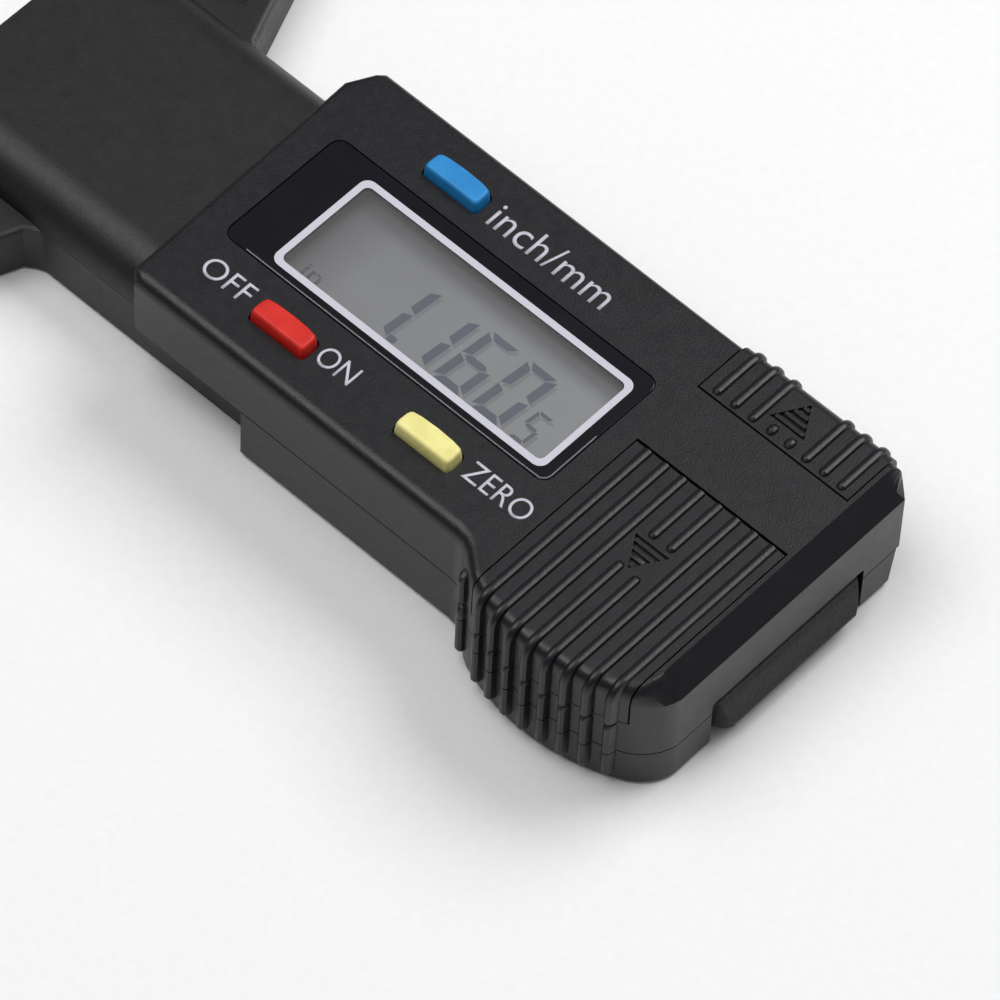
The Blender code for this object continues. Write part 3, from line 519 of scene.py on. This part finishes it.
# ---- lens, printed frame and display ------------------------------------------------------
def build_lens_edge():
    """Painted highlight along the lens edge on its -Y side and round the thumb-side corner."""
    x0, x1, y0 = LENS_LOW[0], LENS_HIGH[0], LENS_LOW[1]
    side = [(x0 + 0.0030 + i * 0.0030, y0) for i in range(13)]
    turn = [(x1 - LENS_CORNER * (1 - math.sin(math.radians(a))),
             y0 + LENS_CORNER * (1 - math.cos(math.radians(a)))) for a in range(15, 91, 15)]
    path = side + turn + [(x1, y0 + 0.0040), (x1, y0 + 0.0075)]
    edge_strip("lens_edge_painted_highlight", path, 0.00010, 0.00013)


def build_lens():
    outer = rounded_rect(LENS_LOW[0], LENS_HIGH[0], LENS_LOW[1], LENS_HIGH[1], LENS_CORNER)
    inner = rounded_rect(*FRAME_INNER, FRAME_RADIUS - 0.0004)
    bezel = ring_plate("lens_bezel", outer, inner, LENS_LOW[2], FACE_Z, smoked_lens("smoked_lens"))
    edge = bezel.modifiers.new("edge", "BEVEL")
    edge.width = 0.00008
    edge.segments = 2
    edge.limit_method = "ANGLE"
    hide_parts("lens_window")
    gap = 0.00002
    x0, x1, y0, y1 = FRAME_INNER
    clear = solid_plate("lens_clear", rounded_rect(x0 + gap, x1 - gap, y0 + gap, y1 - gap, 0.0007),
                        FACE_Z - 0.00030, FACE_Z - 0.00004, clear_sheet("lens_clear_sheet"))
    build_lens_edge()
    printed = ring_plate("lens_frame", rounded_rect(*FRAME_OUTER, FRAME_RADIUS),
                         rounded_rect(x0 - gap, x1 + gap, y0 - gap, y1 + gap, FRAME_RADIUS - 0.0004),
                         FACE_Z + 0.000003, FACE_Z + PRINT_THICKNESS, INK_WHITE)


def segment_outlines(height, width, upright, flat):
    """The seven bars of a digit as outlines from its lower left corner, unslanted."""
    half = height / 2
    gap = upright * 0.10
    u = upright
    f = flat
    left_top = [(0, half + gap), (u, half + gap + f * 0.5), (u, height - f - gap),
                (0, height - gap - f * 0.3)]
    left_low = [(0, f * 0.3 + gap), (u, f + gap), (u, half - gap - f * 0.5), (0, half - gap)]
    right_top = [(width - x, y) for x, y in left_top]
    right_low = [(width - x, y) for x, y in left_low]
    top = [(gap + f * 0.3, height), (width - gap - f * 0.3, height), (width - u - gap, height - f),
           (u + gap, height - f)]
    low = [(x, height - y) for x, y in top]
    middle = [(u * 0.6, half), (u + gap, half + f / 2), (width - u - gap, half + f / 2),
              (width - u * 0.6, half), (width - u - gap, half - f / 2), (u + gap, half - f / 2)]
    return {"a": top, "b": right_top, "c": right_low, "d": low, "e": left_low, "f": left_top, "g": middle}


def build_digit(name, figure, left_x, height, width, upright, flat):
    bars = segment_outlines(height, width, upright, flat)
    for bar in SEGMENTS_OF[figure]:
        slanted = [(left_x + x + y * math.tan(DIGIT_SLANT), DIGIT_BOTTOM_Y + y) for x, y in bars[bar]]
        piece = solid_plate("digit_%s_%s" % (name, bar), slanted, PANEL_TOP_Z + 0.000012,
                            PANEL_TOP_Z + 0.000018, INK_SEGMENT)
        # Painted shadow of each bar: a darker copy shifted across the panel.
        cast = [(x + GHOST_SHIFT[0], y + GHOST_SHIFT[1]) for x, y in slanted]
        shadow = solid_plate("digit_%s_%s_shadow" % (name, bar), cast, PANEL_TOP_Z + 0.000003,
                             PANEL_TOP_Z + 0.000008, PAINTED_SEGMENT_SHADOW)


def build_display():
    for name, figure, left in MAIN_DIGITS:
        build_digit(name, figure, left - SIGHT_SHIFT_X, DIGIT_HEIGHT, DIGIT_WIDTH, UPRIGHT_STROKE,
                    FLAT_STROKE)
    left, height, width, stroke = SMALL_DIGIT
    build_digit("small", "5", left - SIGHT_SHIFT_X, height, width, stroke, stroke)
    point = rounded_rect(0.01870 - SIGHT_SHIFT_X, 0.01970 - SIGHT_SHIFT_X, DIGIT_BOTTOM_Y,
                         DIGIT_BOTTOM_Y + 0.0008, 0.0002, 2)
    solid_plate("digit_point", point, PANEL_TOP_Z + PRINT_LIFT, PANEL_TOP_Z + PRINT_THICKNESS,
                        INK_SEGMENT)
    label("unit_mark", "in", 0.00735 - SIGHT_SHIFT_X, DIGIT_BOTTOM_Y, 0.0022, 0.0017,
          PANEL_TOP_Z + PRINT_LIFT, INK_SEGMENT)


def label(name, words, left_x, base_y, width, cap_height, z, mat):
    """Plain printed word, sized to a width and a capital height."""
    curve = bpy.data.curves.new(name, "FONT")
    curve.body = words
    curve.size = 1.0
    curve.offset = LETTER_OFFSET
    obj = bpy.data.objects.new(name, curve)
    bpy.context.scene.collection.objects.link(obj)
    bpy.context.view_layer.update()
    deps = bpy.context.evaluated_depsgraph_get()
    mesh = bpy.data.meshes.new_from_object(obj.evaluated_get(deps))
    bpy.data.objects.remove(obj)
    low = Vector([min(v.co[i] for v in mesh.vertices) for i in range(3)])
    high = Vector([max(v.co[i] for v in mesh.vertices) for i in range(3)])
    scale_x = width / (high.x - low.x)
    scale_y = cap_height / CAP_RATIO
    for vert in mesh.vertices:
        vert.co = Vector((left_x + (vert.co.x - low.x) * scale_x, base_y + vert.co.y * scale_y, z))
    mesh.materials.clear()
    mesh.materials.append(mat)
    piece = bpy.data.objects.new(name, mesh)
    bpy.context.scene.collection.objects.link(piece)
    thick = piece.modifiers.new("ink", "SOLIDIFY")
    thick.thickness = PRINT_THICKNESS
    thick.offset = 1.0
    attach(piece, "display_unit")
    return piece


def build_labels():
    for name, words, x0, x1, base, cap in LABELS:
        label(name, words, x0, base, x1 - x0, cap, FACE_Z + PRINT_LIFT, INK_WHITE)


# ---- stage ------------------------------------------------------------------------------
def build_camera():
    cos_e, sin_e = math.cos(CAMERA_ELEVATION), math.sin(CAMERA_ELEVATION)
    cos_a, sin_a = math.cos(CAMERA_AZIMUTH), math.sin(CAMERA_AZIMUTH)
    forward = Vector((cos_a * cos_e, sin_a * cos_e, -sin_e))
    right = Vector((sin_a, -cos_a, 0.0))
    up = right.cross(forward)
    turned_right = right * math.cos(CAMERA_ROLL) + up * math.sin(CAMERA_ROLL)
    turned_up = up * math.cos(CAMERA_ROLL) - right * math.sin(CAMERA_ROLL)
    data = bpy.data.cameras.new("camera")
    data.lens = CAMERA_LENS_MM
    data.sensor_width = 36.0
    data.clip_start = 0.01
    data.clip_end = 20.0
    camera = bpy.data.objects.new("camera", data)
    bpy.context.scene.collection.objects.link(camera)
    axes = Matrix((turned_right, turned_up, -forward)).transposed().to_4x4()
    camera.matrix_world = Matrix.Translation(CAMERA_TARGET - forward * CAMERA_DISTANCE) @ axes
    bpy.context.scene.camera = camera


def area_light(name, place, size, power):
    data = bpy.data.lights.new(name, "AREA")
    data.shape = "RECTANGLE"
    data.size, data.size_y = size
    data.energy = power
    light = bpy.data.objects.new(name, data)
    bpy.context.scene.collection.objects.link(light)
    light.location = place
    light.rotation_euler = (-Vector(place)).to_track_quat("-Z", "Y").to_euler()


def build_stage():
    half = FLOOR_HALF
    floor_mesh = bpy.data.meshes.new("floor")
    floor_mesh.from_pydata([(-half, -half, 0), (half, -half, 0), (half, half, 0), (-half, half, 0)],
                           [], [(0, 1, 2, 3)])
    floor_mesh.materials.append(studio_floor("floor_paper"))
    floor = bpy.data.objects.new("floor", floor_mesh)
    floor.location = (0, 0, FLOOR_Z)
    bpy.context.scene.collection.objects.link(floor)
    world = bpy.data.worlds.new("studio")
    bpy.context.scene.world = world
    world.use_nodes = True
    background = world.node_tree.nodes["Background"]
    background.inputs["Color"].default_value = SKY_COLOUR
    background.inputs["Strength"].default_value = SKY_STRENGTH
    bpy.context.scene.view_settings.view_transform = "Standard"
    for light in LIGHTS:
        area_light(*light)


paint_nodes()
soften_edges()
build_lens()
build_display()
build_labels()
build_camera()
build_stage()
